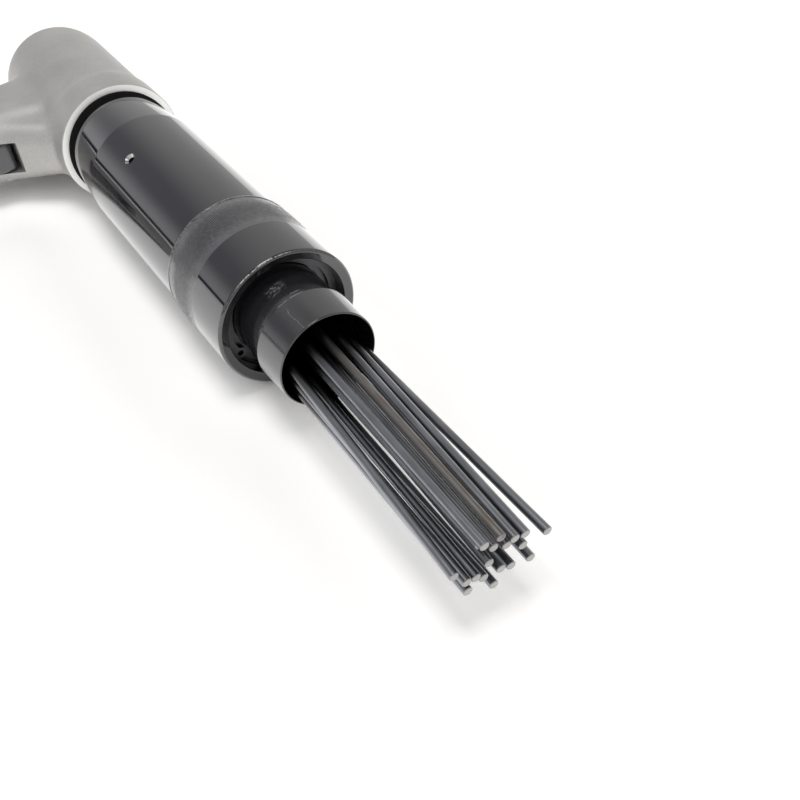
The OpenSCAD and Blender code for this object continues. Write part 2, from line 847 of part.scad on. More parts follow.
module circlip() {
    r_out = groove_d / 2 - 0.2;
    r_in = r_out - circlip_band;
    gap = 40;
    lug_r = 2.2;
    lug_hole_r = 1.1;
    lug_ring_r = collar_bore_d / 2 - 1.7;
    color("#1f1f21")
        on_barrel()
            rotate([circlip_turn + gap / 2, 0, 0])
                translate([x_circlip, 0, 0])
                    rotate([90, 0, 90])
                        linear_extrude(circlip_t)
                            difference() {
                                union() {
                                    difference() {
                                        circle(r = r_out);
                                        circle(r = r_in);
                                        polygon([
                                            [0, 0], [2 * r_out, 0],
                                            2 * r_out * [1, -tan(gap / 2)],
                                            2 * r_out * [cos(gap), -sin(gap)],
                                        ]);
                                    }
                                    for (a = [0, -gap])
                                        rotate(a)
                                            translate([lug_ring_r, 0])
                                                circle(r = lug_r, $fn = 48);
                                }
                                for (a = [0, -gap])
                                    rotate(a)
                                        translate([lug_ring_r, 0])
                                            circle(r = lug_hole_r, $fn = 32);
                            }
}

module nozzle_washer() {
    color("#3a3a3d")
        on_barrel()
            ring(x_washer, x_washer + washer_t, collar_bore_d / 2 - loose_fit, neck_d / 2 + loose_fit);
}

module nozzle() {
    flange_r = barrel_bore_d / 2 - loose_fit - 0.2;
    neck_r = neck_d / 2;
    neck_bore_r = neck_bore_d / 2;
    bevel = 1;
    lip = 0.3;
    cup_wall_rear = 4;
    color("#2b2b2e")
        on_barrel()
            turned([
                [neck_bore_r, x_nozzle], [flange_r, x_nozzle], [flange_r, x_nozzle + nozzle_flange_t],
                [neck_r, x_nozzle + nozzle_flange_t], [neck_r, x_cup], [cup_rear_d / 2 - bevel, x_cup],
                [cup_rear_d / 2, x_cup + bevel], [cup_front_d / 2, x_mouth - lip],
                [cup_front_d / 2 - lip, x_mouth], [cup_bore_d / 2, x_mouth],
                [cup_bore_d / 2, x_cup + cup_wall_rear], [neck_bore_r, x_cup + cup_wall_rear - 1],
            ]);
}

// Holes of the holder: one in the middle and two rings around it, the inner one turned half a step
function ring_spot(r, n, count) = [r * cos(360 * n / count), r * sin(360 * n / count)];
function needle_hole(n) =
    n == 1 ? [0, 0]
    : n <= 1 + inner_count ? ring_spot(inner_ring_r, n - 1.5, inner_count)
    : ring_spot(outer_ring_r, n - 2 - inner_count, outer_count);

// A needle's way from its hole to its tip, and how far it leans over the length of its hole
function needle_way(n) =
    let (hole = needle_hole(n))
    let (tip = needle_tips[n - 1])
        [x_tip - x_holder_mid, tip[0] - hole[0], tip[1] - hole[1]];
function needle_axis(n) = needle_way(n) / norm(needle_way(n));
most_lean = max([for (n = [1:needle_count]) norm([needle_axis(n)[1], needle_axis(n)[2]])]);
hole_r = needle_d / 2 + most_lean * holder_len / 2 + 0.2;

module needle_holder() {
    r = barrel_bore_d / 2 - loose_fit;
    edge = 1;
    color("#64676b")
        on_barrel()
            difference() {
                turned([
                    [0, x_holder], [r - edge, x_holder], [r, x_holder + edge],
                    [r, x_holder + holder_len - edge], [r - edge, x_holder + holder_len],
                    [0, x_holder + holder_len],
                ]);
                for (n = [1:needle_count])
                    translate([0, needle_hole(n)[0], needle_hole(n)[1]])
                        bar(x_holder - 1, x_holder + holder_len + 1, hole_r);
            }
}

needle_coil_line = coil_line(
    x_holder + holder_len + spring_wire / 2 + stop_gap,
    x_nozzle - spring_wire / 2 - stop_gap,
    barrel_bore_d / 2 - loose_fit - spring_wire, spring_turns
);
module needle_spring() {
    color("#55585c")
        on_barrel()
            coil(needle_coil_line, spring_wire / 2);
}

module needle(n) {
    axis = needle_axis(n);
    hole = needle_hole(n);
    // The head's back, measured along the needle from the middle of its hole
    back = -holder_len / 2 - stop_gap - head_len - needle_tips[n - 1][2];
    r = needle_d / 2;
    edge = 0.2;
    color("#6f747c")
        on_barrel()
            translate([x_holder_mid, hole[0], hole[1]])
                rotate([0, -asin(axis[2]), atan2(axis[1], axis[0])])
                    turned([
                        [0, back], [head_d / 2 - edge, back], [head_d / 2, back + edge],
                        [head_d / 2, back + head_len], [r, back + head_len],
                        [r, back + needle_len - edge], [r - edge, back + needle_len], [0, back + needle_len],
                    ]);
}

// Places of the joints and the inlet in the tool's own frame, for whoever sets them up
function on_barrel_point(p) = p + [-x_middle, -y_middle, body_r];
function leaned(p) = [p[0], p[1] * cos(rest_lean) - p[2] * sin(rest_lean),
    p[1] * sin(rest_lean) + p[2] * cos(rest_lean)];
echo(rest_lean = rest_lean);
echo(trigger_pivot = on_barrel_point(leaned([x_pivot, -pivot_drop, 0])), axis = leaned([0, 0, -1]));
echo(stem_travel = stem_travel, per_radian = stem_drop);
echo(regulator = on_barrel_point(leaned([x_regulator_seat, y_regulator, 0])));
echo(inlet_mouth = on_barrel_point(leaned([x_air, -inlet_end, 0])), axis = leaned([0, -1, 0]));
echo(mouth = on_barrel_point([x_mouth, 0, 0]), tips = on_barrel_point([x_tip, 0, 0]));
echo(shroud_seat = concat(
    on_barrel_point([x_collar_face - (collar_smooth_len + collar_edge) / 2, 0, 0]),
    [collar_smooth_len - collar_edge]
));
echo(spring_places = [
    on_barrel_point([x_plug - plug_pocket, 0, 0])[0], on_barrel_point([x_nozzle, 0, 0])[0],
    on_barrel_point([x_holder + holder_len, 0, 0])[0]
]);
finger_x = -neck_front - 5;
echo(finger_space = concat(
    on_barrel_point(leaned([finger_x, -pivot_drop - trigger_drop + 4, -6])),
    on_barrel_point(leaned([finger_x + 25, -body_r - 4, 6])) - [0, 0, 3]
));
echo(needle_axes = [for (n = [1:needle_count]) needle_axis(n)]);
echo(drawn_back = [for (t = needle_tips) t[2]]);
echo(throttle_spring_gap = coil_gap(throttle_coil_line, throttle_wire / 2));
echo(needle_spring_gap = coil_gap(needle_coil_line, spring_wire / 2));

housing();
trigger();
trigger_pin();
throttle_bushing();
throttle_o_ring();
throttle_valve();
throttle_spring();
throttle_plug();
air_inlet();
inlet_screen();
regulator_screw();
regulator_o_ring();
valve_block();
valve_disc();
valve_cap();
valve_dowels();
cylinder_barrel();  // cylinder
piston();
anvil();
anvil_buffer();
barrel_seal();
barrel();
front_collar();
circlip();
nozzle_washer();
nozzle();
needle_holder();
needle_spring();
for (n = [1:needle_count])
    needle(n);
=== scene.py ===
"""Looks of a pneumatic needle scaler that lies on a white sheet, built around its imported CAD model."""
import math

import bmesh
import bpy
import numpy as np
from mathutils import Matrix, Vector


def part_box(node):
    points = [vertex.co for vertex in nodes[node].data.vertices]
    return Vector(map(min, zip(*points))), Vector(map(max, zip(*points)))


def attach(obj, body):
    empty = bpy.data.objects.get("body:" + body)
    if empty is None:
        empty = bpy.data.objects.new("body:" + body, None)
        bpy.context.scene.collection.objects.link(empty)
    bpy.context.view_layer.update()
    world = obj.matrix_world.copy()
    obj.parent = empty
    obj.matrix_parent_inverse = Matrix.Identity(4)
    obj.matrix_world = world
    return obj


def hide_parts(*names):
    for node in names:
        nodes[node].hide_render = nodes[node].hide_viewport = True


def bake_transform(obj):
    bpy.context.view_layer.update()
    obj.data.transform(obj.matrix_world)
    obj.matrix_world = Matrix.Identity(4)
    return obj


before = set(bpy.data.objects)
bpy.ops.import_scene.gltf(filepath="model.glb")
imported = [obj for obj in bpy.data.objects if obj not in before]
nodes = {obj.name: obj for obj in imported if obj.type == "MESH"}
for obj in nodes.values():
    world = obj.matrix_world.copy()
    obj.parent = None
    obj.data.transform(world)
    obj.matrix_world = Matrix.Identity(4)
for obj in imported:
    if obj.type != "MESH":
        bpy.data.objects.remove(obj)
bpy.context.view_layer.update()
scene = bpy.context.scene
scene.view_settings.view_transform = "Standard"

# Camera: where the photographer stood, in front of the needles and above them, at the
# photograph's own viewing angle. Distances are from the middle of the collar's front face.
COLLAR_REACH = 0.149  # from the housing's front face to the collar's
CAMERA_PLACE = Vector((0.246, -0.118, 0.2055))
barrel_low, barrel_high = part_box("barrel")
AXIS_Y = (barrel_low.y + barrel_high.y) / 2
AXIS_Z = (barrel_low.z + barrel_high.z) / 2
COLLAR_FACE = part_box("front_collar")[1].x
HOUSING_FACE = COLLAR_FACE - COLLAR_REACH
camera = bpy.data.objects.new("camera", bpy.data.cameras.new("camera"))
scene.collection.objects.link(camera)
scene.camera = camera
camera.data.sensor_width = 36
camera.data.lens = 45
camera.data.clip_start = 0.01
azimuth, elevation = math.radians(56.5), math.radians(41.9)
level = math.cos(elevation)
back = Vector((math.sin(azimuth) * level, -math.cos(azimuth) * level, math.sin(elevation)))
camera.location = Vector((COLLAR_FACE, AXIS_Y, AXIS_Z)) + CAMERA_PLACE
camera.rotation_euler = back.to_track_quat("Z", "Y").to_euler()


# Floor: a white cotton sheet on a table, smooth enough to look plain, with very faint creases.
class Val:
    """A node socket that is added, multiplied and so on like a number."""

    def __init__(self, tree, socket):
        self.tree, self.socket = tree, socket

    def make(self, kind, inputs=(), out=0, **settings):
        node = self.tree.nodes.new(kind)
        for name, value in settings.items():
            setattr(node, name, value)
        for key, value in inputs.items() if isinstance(inputs, dict) else enumerate(inputs):
            if isinstance(value, Val):
                self.tree.links.new(value.socket, node.inputs[key])
            else:
                node.inputs[key].default_value = value
        return Val(self.tree, node.outputs[out])

    def math(self, operation, *others):
        return self.make("ShaderNodeMath", (self, *others), operation=operation)

    def __add__(self, other):
        return self.math("ADD", other)

    def __sub__(self, other):
        return self.math("SUBTRACT", other)

    def __mul__(self, other):
        return self.math("MULTIPLY", other)

    def __rsub__(self, other):
        return self.make("ShaderNodeMath", (other, self), operation="SUBTRACT")

    def step(self, low, high):
        """0 below low and 1 above high, smooth between them; the other way round if high is below low."""
        inputs = {"Value": self, "From Min": min(low, high), "From Max": max(low, high)}
        up = self.make("ShaderNodeMapRange", inputs, interpolation_type="SMOOTHSTEP")
        return up if high > low else 1 - up

    def within(self, low, high, soft):
        """1 between low and high, fading to 0 over soft outside them."""
        return self.step(low - soft, low) * self.step(high + soft, high)

    def most(self, other):
        return self.math("MAXIMUM", other)

    def vector(self, operation, other):
        return self.make("ShaderNodeVectorMath", (self, other), operation=operation)

    def noise(self, scale, detail=2.0, roughness=0.5):
        """Soft noise from 0 to 1 over this vector, scale being cells to its unit or a vector of them."""
        vector = self
        if not isinstance(scale, (int, float)):
            vector = self.vector("MULTIPLY", scale)
            scale = 1.0
        inputs = {"Vector": vector, "Scale": scale, "Detail": detail, "Roughness": roughness}
        return vector.make("ShaderNodeTexNoise", inputs)

    def mix(self, low, high):
        """A colour: low where this is 0, high where it is 1."""
        low, high = [c if isinstance(c, Val) else (*c, 1.0) for c in (low, high)]
        return self.make("ShaderNodeMix", {0: self, 6: low, 7: high}, out=2, data_type="RGBA")

    def part(self, axis):
        return self.make("ShaderNodeSeparateXYZ", (self,), out="XYZ".index(axis))


def material(name, **constants):
    """A new material with those inputs of its shader set, its shader node, and the object's coordinates."""
    made = bpy.data.materials.new(name)
    made.use_nodes = True
    shader = made.node_tree.nodes["Principled BSDF"]
    for key, value in constants.items():
        socket = shader.inputs[key.replace("_", " ")]
        socket.default_value = (*value, 1.0) if isinstance(value, tuple) else value
    coordinates = made.node_tree.nodes.new("ShaderNodeTexCoord")
    return made, shader, Val(made.node_tree, coordinates.outputs["Object"])


def feed(shader, **values):
    """Links values to a shader's inputs, whose names have underscores for spaces here."""
    for key, value in values.items():
        value.tree.links.new(value.socket, shader.inputs[key.replace("_", " ")])


def bump(height, distance, strength=1.0):
    return height.make("ShaderNodeBump", {"Height": height, "Distance": distance, "Strength": strength})


FLOOR_HALF = 3
FLOOR_DROP = 0.0002  # keeps the sheet clear of faces that lie on the bench
SHADOW_REACH = 0.03  # how near to the tool the sheet's own brightness starts to fade
BRIGHT, BRIGHT_LESS, BRIGHT_MIRRORED = 0.505, 0.26, 0.9  # open sheet = BRIGHT - BRIGHT_LESS
sheet_corners = [(x * FLOOR_HALF, y * FLOOR_HALF, 0) for x, y in ((-1, -1), (1, -1), (1, 1), (-1, 1))]
floor_mesh = bpy.data.meshes.new("floor")
floor_mesh.from_pydata(sheet_corners, [], [(0, 1, 2, 3)])
floor = bpy.data.objects.new("floor", floor_mesh)
scene.collection.objects.link(floor)
floor.location.z = -FLOOR_DROP
cloth, cloth_shader, at = material("white_sheet", Roughness=0.9, Emission_Strength=1.0)
creases = at.noise((9.0, 14.0, 1.0), 3.0).step(0.35, 0.75)
open_air = at.make("ShaderNodeAmbientOcclusion", {"Distance": SHADOW_REACH}, out=1, samples=8)
seen, glossy, through = [
    at.make("ShaderNodeLightPath", out=f"Is {kind} Ray") for kind in ("Camera", "Glossy", "Transmission")
]
# Painted shadow: the sheet's glow, seen directly or in mirrors, is lifted in the tool's soft shade and fades
# out at its contact, following ambient occlusion.
shade_shaped_glow = (seen * (BRIGHT - open_air * BRIGHT_LESS)).most(glossy.most(through) * BRIGHT_MIRRORED)
feed(
    cloth_shader,
    Base_Color=creases.mix((0.93, 0.915, 0.895), (0.95, 0.937, 0.92)),
    Emission_Color=(shade_shaped_glow * open_air.step(0.1, 0.6)).mix((0, 0, 0), (1, 1, 1)),
    Normal=bump(creases, 0.002, 0.15),
)
floor_mesh.materials.append(cloth)

# Light: a pale room whose walls the gloss black mirrors, greyer half way up on the grip's side,
# with a dark skirting at its foot, and one soft lamp under a dim ceiling high over the tool.
world = bpy.data.worlds.new("room")
scene.world = world
world.use_nodes = True
background = world.node_tree.nodes["Background"]
direction = Val(world.node_tree, world.node_tree.nodes.new("ShaderNodeTexCoord").outputs["Generated"])
ahead, side, height = [direction.part(axis) for axis in "XYZ"]
left_wall = height.step(0.10, 0.38).mix((1.0, 1.0, 1.02), (0.40, 0.40, 0.43))
left_wall = height.step(0.48, 0.72).mix(left_wall, (0.75, 0.75, 0.77))
far_wall = side.step(-0.25, 0.3).mix(left_wall, (0.85, 0.84, 0.83))
walls = ahead.step(-0.4, 0.3).mix(far_wall, (0.85, 0.85, 0.84))
skirting = height.within(-0.02, 0.035, 0.01) * ahead.step(0.0, -0.3) * side.step(0.1, -0.1)
room = height.step(0.70, 0.85).mix(skirting.mix(walls, (0.02, 0.024, 0.05)), (0.15, 0.15, 0.15))
world.node_tree.links.new(room.socket, background.inputs["Color"])


def lamp(name, place, target, size, power):
    made = bpy.data.objects.new(name, bpy.data.lights.new(name, "AREA"))
    made.data.size = size
    made.data.energy = power
    made.location = place
    made.rotation_euler = (Vector(place) - Vector(target)).to_track_quat("Z", "Y").to_euler()
    scene.collection.objects.link(made)


lamp("overhead", place=(0.02, -0.08, 1.4), target=(0.05, 0.0, 0), size=0.5, power=8)

# Housing: an aluminium casting of sleeve, neck and grip in one, with soft fillets and a fine
# sand grain; its front face, bores, trigger slot and seats are machined into it afterwards.
MM = 0.001
LEAN = math.radians(4.7273)
BARREL = Matrix.Translation((HOUSING_FACE, AXIS_Y, AXIS_Z)) @ Matrix.Scale(MM, 4)
HAND = BARREL @ Matrix.Rotation(LEAN, 4, "X")
HOLD = 1.4  # a point this many roundings from a corner keeps the shading of the flat beside it


def rounded(corners, steps=5):
    """Points along a section whose corners (x, y, size) are rounded over that size."""
    line = []
    for k, (x, y, size) in enumerate(corners):
        here = Vector((x, y))
        if not size:
            line.append(here)
            continue
        to_last = (Vector(corners[k - 1][:2]) - here).normalized()
        to_next = (Vector(corners[(k + 1) % len(corners)][:2]) - here).normalized()
        line.append(here + to_last * size * HOLD)
        for i in range(steps + 1):
            t = i / steps
            line.append(here + to_last * size * (1 - t) ** 2 + to_next * size * t**2)
        line.append(here + to_next * size * HOLD)
    return line


def smooth(mesh, angle=0.6):
    """The mesh shaded smooth, apart from edges that turn by more than the angle."""
    mesh.shade_smooth()
    mesh.set_sharp_from_angle(angle=angle)
    return mesh


def rings_mesh(rings, closed, place):
    """A skin over rings of points, each ring being one point or as many as the others have."""
    form = bmesh.new()
    made = [[form.verts.new(p) for p in ring] for ring in rings]
    count = max(len(ring) for ring in made)
    for one, two in list(zip(made, made[1:])) + ([(made[-1], made[0])] if closed else []):
        for i in range(count):
            j = (i + 1) % count
            loop = [one[i % len(one)], two[i % len(two)], two[j % len(two)], one[j % len(one)]]
            form.faces.new(list(dict.fromkeys(loop)))
    bmesh.ops.recalc_face_normals(form, faces=form.faces)
    mesh = bpy.data.meshes.new("skin")
    form.to_mesh(mesh)
    form.free()
    mesh.transform(place)
    return mesh


def turned(corners, place, segments=192):
    """A turned mesh along x, from the corners (x, radius, rounding) of its section in millimetres."""
    line = rounded(corners)
    turns = [2 * math.pi * i / segments for i in range(segments)]
    rings = [[(x, r * math.cos(a), r * math.sin(a)) for a in turns] if r else [(x, 0, 0)] for x, r in line]
    return smooth(rings_mesh(rings, bool(line[0][1]), place))


def prism(outline, low, high, place):
    """A mesh with that outline in x and y, from low to high in z."""
    sides = [[(x, y, z) for x, y in outline] for z in (low, high)]
    form = bmesh.new()
    bottom, top = [[form.verts.new(p) for p in side] for side in sides]
    form.faces.new(bottom)
    form.faces.new(top)
    for i in range(len(outline)):
        j = (i + 1) % len(outline)
        form.faces.new((bottom[i], bottom[j], top[j], top[i]))
    bmesh.ops.recalc_face_normals(form, faces=form.faces)
    mesh = bpy.data.meshes.new("prism")
    form.to_mesh(mesh)
    form.free()
    mesh.transform(place)
    return mesh


def joined(*meshes):
    """One mesh out of several, which may overlap."""
    form = bmesh.new()
    for mesh in meshes:
        form.from_mesh(mesh)
    mesh = bpy.data.meshes.new("joined")
    form.to_mesh(mesh)
    form.free()
    return mesh


def evaluated(made):
    """The plain mesh of an object with its modifiers done; the object goes."""
    bpy.context.view_layer.update()
    mesh = bpy.data.meshes.new_from_object(made.evaluated_get(bpy.context.evaluated_depsgraph_get()))
    bpy.data.objects.remove(made)
    return mesh


def remeshed(mesh, voxel):
    """The mesh, of pieces that overlap, as one skin of small quads."""
    work = bpy.data.objects.new("work", mesh)
    scene.collection.objects.link(work)
    step = work.modifiers.new("cast", "REMESH")
    step.mode, step.voxel_size = "VOXEL", voxel
    return evaluated(work)


def carved(mesh, *tools, operation="DIFFERENCE"):
    """The mesh with the tools' meshes cut out of it, or with only what lies in them kept."""
    for tool in tools:
        work, cutter = [bpy.data.objects.new("work", m) for m in (mesh, tool)]
        for made in (work, cutter):
            scene.collection.objects.link(made)
        step = work.modifiers.new("cut", "BOOLEAN")
        step.operation, step.object, step.solver = operation, cutter, "MANIFOLD"
        mesh = evaluated(work)
        bpy.data.objects.remove(cutter)
    return mesh


def piece(name, mesh, look, body, slot, *replaced):
    """Shows a mesh as a piece of the tool that rides on a body and stands for CAD nodes."""
    mesh.name = name
    mesh.materials.clear()
    mesh.materials.append(look)
    made = bpy.data.objects.new(name, mesh)
    scene.collection.objects.link(made)
    if body:
        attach(made, body)
    if replaced:
        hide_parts(*replaced)
    return made


def grip_ring(x, y, depth, width, corner, points=96):
    """A ring around the grip at a height y: a rectangle of depth by width with rounded corners."""
    ring = []
    for i in range(points):
        a = 2 * math.pi * (i + 0.5) / points
        c, s = math.cos(a), math.sin(a)
        dx, dz = math.copysign(depth / 2 - corner, c), math.copysign(width / 2 - corner, s)
        ring.append((x + dx + corner * c, -y, dz + corner * s))
    return ring


def grip_run(one, two, count):
    """Stations from one to two, eased at the second, each being (x, y, depth, width, corner)."""
    one, two = np.array(one, float), np.array(two, float)
    for i in range(count):
        t = i / count
        station = one + (two - one) * (1 - (1 - t) ** 1.5)
        station[1] = one[1] + (two[1] - one[1]) * t
        yield station


def skin_of(stations):
    """A closed skin over the grip's rings at those stations."""
    rings = [grip_ring(*station) for station in stations]
    ends = [[tuple(np.mean(ring, axis=0))] for ring in (rings[0], rings[-1])]
    return rings_mesh([ends[0], *rings, ends[1]], False, HAND)


ROOT = (-42, 6, 51.5, 34.5, 13)
WAIST = (-44, 76, 38, 30.5, 13)
FOOT = (-46, 121, 42, 32, 13)
grip_skin = skin_of([
    *grip_run(ROOT, WAIST, 16), *list(grip_run(FOOT, WAIST, 12))[::-1],
    (-46, 123, 41.2, 31.2, 12.6), (-46, 124.3, 39, 29, 11.5), (-46, 125, 35.6, 25.6, 9.8),
])
neck_skin = skin_of([
    (-15, 12, 24, 23, 11), (-16.5, 20, 24, 24, 11), (-31, 42, 24, 28, 11), (-36, 52, 24, 28, 11),
])
sleeve_skin = turned([
    (-86, 0, 0), (-86, 25, 12), (-16.5, 25, 0.4), (-15.5, 26, 0.4), (4, 26, 0), (4, 0, 0),
], HAND)
DOWN = HAND @ Matrix.Translation((-49, 0, 0)) @ Matrix.Rotation(-math.pi / 2, 4, "Z")
pad_skin = turned([(118, 0, 0), (118, 13, 0), (129, 13, 0), (129, 0, 0)], DOWN)
casting = remeshed(joined(sleeve_skin, grip_skin, neck_skin, pad_skin), voxel=0.0009)


def soften(mesh, filling, smoothing):
    """Fills the inner corners of a fine quad mesh with fillets, then eases every edge a little."""
    count = len(mesh.vertices)
    co = np.empty(count * 3)
    mesh.vertices.foreach_get("co", co)
    co = co.reshape(-1, 3)
    edges = np.empty(len(mesh.edges) * 2, int)
    mesh.edges.foreach_get("vertices", edges)
    a, b = edges.reshape(-1, 2).T
    corners = np.empty(len(mesh.loops), int)
    mesh.loops.foreach_get("vertex_index", corners)
    corners = corners.reshape(-1, 4)
    degree = np.bincount(np.r_[a, b], minlength=count)[:, None]

    def gather(index, values):
        return np.stack([np.bincount(index, values[:, k], count) for k in range(3)], axis=1)

    for step in range(filling + smoothing):
        drift = gather(np.r_[a, b], co[np.r_[b, a]]) / degree - co
        if step < filling:
            flat = np.cross(co[corners[:, 2]] - co[corners[:, 0]], co[corners[:, 3]] - co[corners[:, 1]])
            normal = gather(corners.T.ravel(), np.tile(flat, (4, 1)))
            normal /= np.linalg.norm(normal, axis=1)[:, None]
            drift = np.clip((drift * normal).sum(1), 0, None)[:, None] * normal
        co = co + 0.5 * drift
    mesh.vertices.foreach_set("co", co.ravel())
    mesh.update()


soften(casting, filling=70, smoothing=6)
STEM = HAND @ Matrix.Translation((0, -61.5, 0))
REGULATOR = HAND @ Matrix.Translation((0, -100, 0))
PIVOT = HAND @ Matrix.Translation((-27, -45.5, 0))
ACROSS = PIVOT @ Matrix.Rotation(-math.pi / 2, 4, "Y")
SLOT_HALF = 7.05
PIN_HOLE_R = 2.06
pin_hole = turned([(-30, 0, 0), (-30, PIN_HOLE_R, 0), (30, PIN_HOLE_R, 0), (30, 0, 0)], ACROSS, 48)
slot_outline = rounded([(-38, -39.4, 0.6), (-38, -87.9, 0.6), (6, -87.9, 0), (6, -39.4, 0)])
trigger_slot = prism(slot_outline, -SLOT_HALF, SLOT_HALF, HAND)
front_facing = turned([
    (0, 0, 0), (0, 25.6, 0), (-0.5, 26.2, 0), (-0.5, 34, 0), (12, 34, 0), (12, 0, 0),
], HAND)
motor_bore = turned([
    (-74, 0, 0), (-74, 20.5, 0), (-15, 20.5, 0), (-15, 21.8, 0), (2, 21.8, 0), (2, 0, 0),
], HAND)
throttle_bore = turned([
    (-88, 0, 0), (-88, 9.2, 0), (-63.81, 9.2, 0), (-63.81, 7, 0), (-37, 7, 0), (-37, 0, 0),
], STEM, 96)
regulator_bore = turned([
    (-96, 0, 0), (-96, 8, 0), (-65, 8, 0), (-65, 4.56, 0), (-49, 4.56, 0), (-49, 0, 0),
], REGULATOR, 96)
foot_facing = turned([(128, 0, 0), (128, 40, 0), (140, 40, 0), (140, 0, 0)], DOWN, 96)
inlet_bore = turned([
    (61.5, 0, 0), (61.5, 3.5, 0), (107, 3.5, 0), (107, 9.1, 0), (130, 9.1, 0), (130, 0, 0),
], DOWN, 96)
casting = carved(
    casting, front_facing, motor_bore, trigger_slot, pin_hole, throttle_bore, regulator_bore, foot_facing,
    inlet_bore,
)
cast_aluminium, shader, at = material("cast_aluminium", Metallic=0.55)
sand = at.noise(1500.0, 3.0, 0.6)
blotches = at.noise(60.0, 3.0)
faced = at.part("X").step(HOUSING_FACE - 0.15 * MM, HOUSING_FACE - 0.05 * MM)
skin = (sand * 0.5 + blotches * 0.5).step(0.3, 0.7).mix((0.40, 0.393, 0.382), (0.51, 0.501, 0.488))
feed(
    shader,
    Base_Color=faced.mix(skin, (0.9, 0.895, 0.885)),
    Roughness=blotches * 0.14 + 0.46,
    Normal=bump(sand * (1 - faced), 0.00012, 0.55),
)
piece("housing_casting", smooth(casting, 0.7), cast_aluminium, "tool_body", "cast_aluminium", "housing")

# Trigger: a die-cast lever, black enamelled, with a hollow for the finger and rounded edges.
# It swings on a plain steel pin pressed across the grip.
LEVER_HALF = 6.75
HOLLOW_STEPS = 12
brow, tip, finger_r, finger_dip = Vector((5.5, -6)), Vector((11, -33)), 24, 3
along = (tip - brow).normalized()
finger = (brow + tip) / 2 + Vector((-along.y, along.x)) * (finger_r - finger_dip)
reach = math.acos(1 - finger_dip / finger_r)
level = math.atan2(-along.x, along.y)
turns = [level - reach + 2 * reach * k / HOLLOW_STEPS for k in range(HOLLOW_STEPS + 1)]
hollow = [(finger.x + finger_r * math.cos(a), finger.y + finger_r * math.sin(a), 0) for a in turns]
outline = rounded([
    (-4.2, 2.6, 1.5), (0.5, 5.4, 1.5), (2.75, 5, 0.5), (5.5, 4, 1.0), (*brow, 1.0), *hollow, (*tip, 1.5),
    (8.5, -38, 1.5), (2, -38, 1.5), (1, -23.5, 2), (1, -4.4, 1), (-3.4, -3.4, 1.5),
])
lever = remeshed(prism(outline, -LEVER_HALF, LEVER_HALF, PIVOT), voxel=0.0004)
soften(lever, filling=0, smoothing=30)
lever = carved(lever, pin_hole)
black_enamel, shader, at = material("black_enamel", IOR=1.8)
peel = at.noise(500.0, 2.0)
feed(
    shader,
    Base_Color=at.noise(120.0, 3.0).mix((0.012, 0.012, 0.014), (0.024, 0.024, 0.028)),
    Roughness=peel * 0.1 + 0.18,
    Normal=bump(peel, 0.00003, 0.15),
)
piece("trigger_lever", smooth(lever, 0.5), black_enamel, "trigger", "trigger_black", "trigger")

ground_steel, shader, at = material("ground_steel", Metallic=1.0)
lines = at.noise((300.0, 9000.0, 9000.0), 2.0)
feed(shader, Base_Color=lines.mix((0.32, 0.32, 0.325), (0.44, 0.44, 0.445)), Roughness=lines * 0.15 + 0.2)
pin = turned([(-12, 0, 0), (-12, 2, 0.3), (12, 2, 0.3), (12, 0, 0)], ACROSS, 48)
piece("pivot_pin", pin, ground_steel, "tool_body", "ground_steel", "trigger_pin")


# Throttle: a brass bushing with a rubber ring in the grip's cross bore, a ground valve that the
# trigger pushes back against a wound spring, and a plated plug with a hexagon socket behind it.
def plain_looks(look, *names):
    """Gives a material to CAD nodes that are shown as they are."""
    for name in names:
        nodes[name].data.materials.clear()
        nodes[name].data.materials.append(look)


brass, shader, at = material("brass", Metallic=1.0)
tarnish = at.noise(400.0, 3.0)
feed(shader, Base_Color=tarnish.mix((0.50, 0.36, 0.15), (0.68, 0.52, 0.24)), Roughness=tarnish * 0.2 + 0.25)
plain_looks(brass, "throttle_bushing", "inlet_screen")
rubber, shader, at = material("rubber", IOR=1.45)
dust = at.noise(2500.0, 3.0)
feed(
    shader,
    Base_Color=dust.mix((0.008, 0.008, 0.009), (0.018, 0.018, 0.018)),
    Roughness=dust * 0.2 + 0.5,
    Normal=bump(dust, 0.00005, 0.3),
)
plain_looks(rubber, "throttle_o_ring", "regulator_o_ring", "anvil_buffer")
plain_looks(ground_steel, "throttle_valve", "valve_dowels", "valve_disc", "piston")


def geometry_tree(name, sizes):
    """An empty geometry tree with those named inputs, and the values of the inputs."""
    tree = bpy.data.node_groups.new(name, "GeometryNodeTree")
    tree.is_modifier = True
    tree.interface.new_socket("Geometry", in_out="OUTPUT", socket_type="NodeSocketGeometry")
    for key, kind in sizes.items():
        tree.interface.new_socket(key, in_out="INPUT", socket_type=f"NodeSocket{kind}")
    start = tree.nodes.new("NodeGroupInput")
    return tree, {key: Val(tree, start.outputs[key]) for key in sizes}


def end_tree(grown, look):
    """Ends a tree: its instances are made real and get their material."""
    real = grown.make("GeometryNodeRealizeInstances", {"Geometry": grown})
    dressed = real.make("GeometryNodeSetMaterial", {"Geometry": real, "Material": look})
    end = grown.tree.nodes.new("NodeGroupOutput")
    grown.tree.links.new(dressed.socket, end.inputs[0])


def grown(tree, **values):
    """The plain mesh that a tree gives for those values of its inputs."""
    made = bpy.data.objects.new("grown", bpy.data.meshes.new("grown"))
    scene.collection.objects.link(made)
    modifier = made.modifiers.new("tree", "NODES")
    modifier.node_group = tree
    for socket in tree.interface.items_tree:
        if socket.in_out == "INPUT":
            modifier[socket.identifier] = values[socket.name.replace(" ", "_")]
    return evaluated(made)


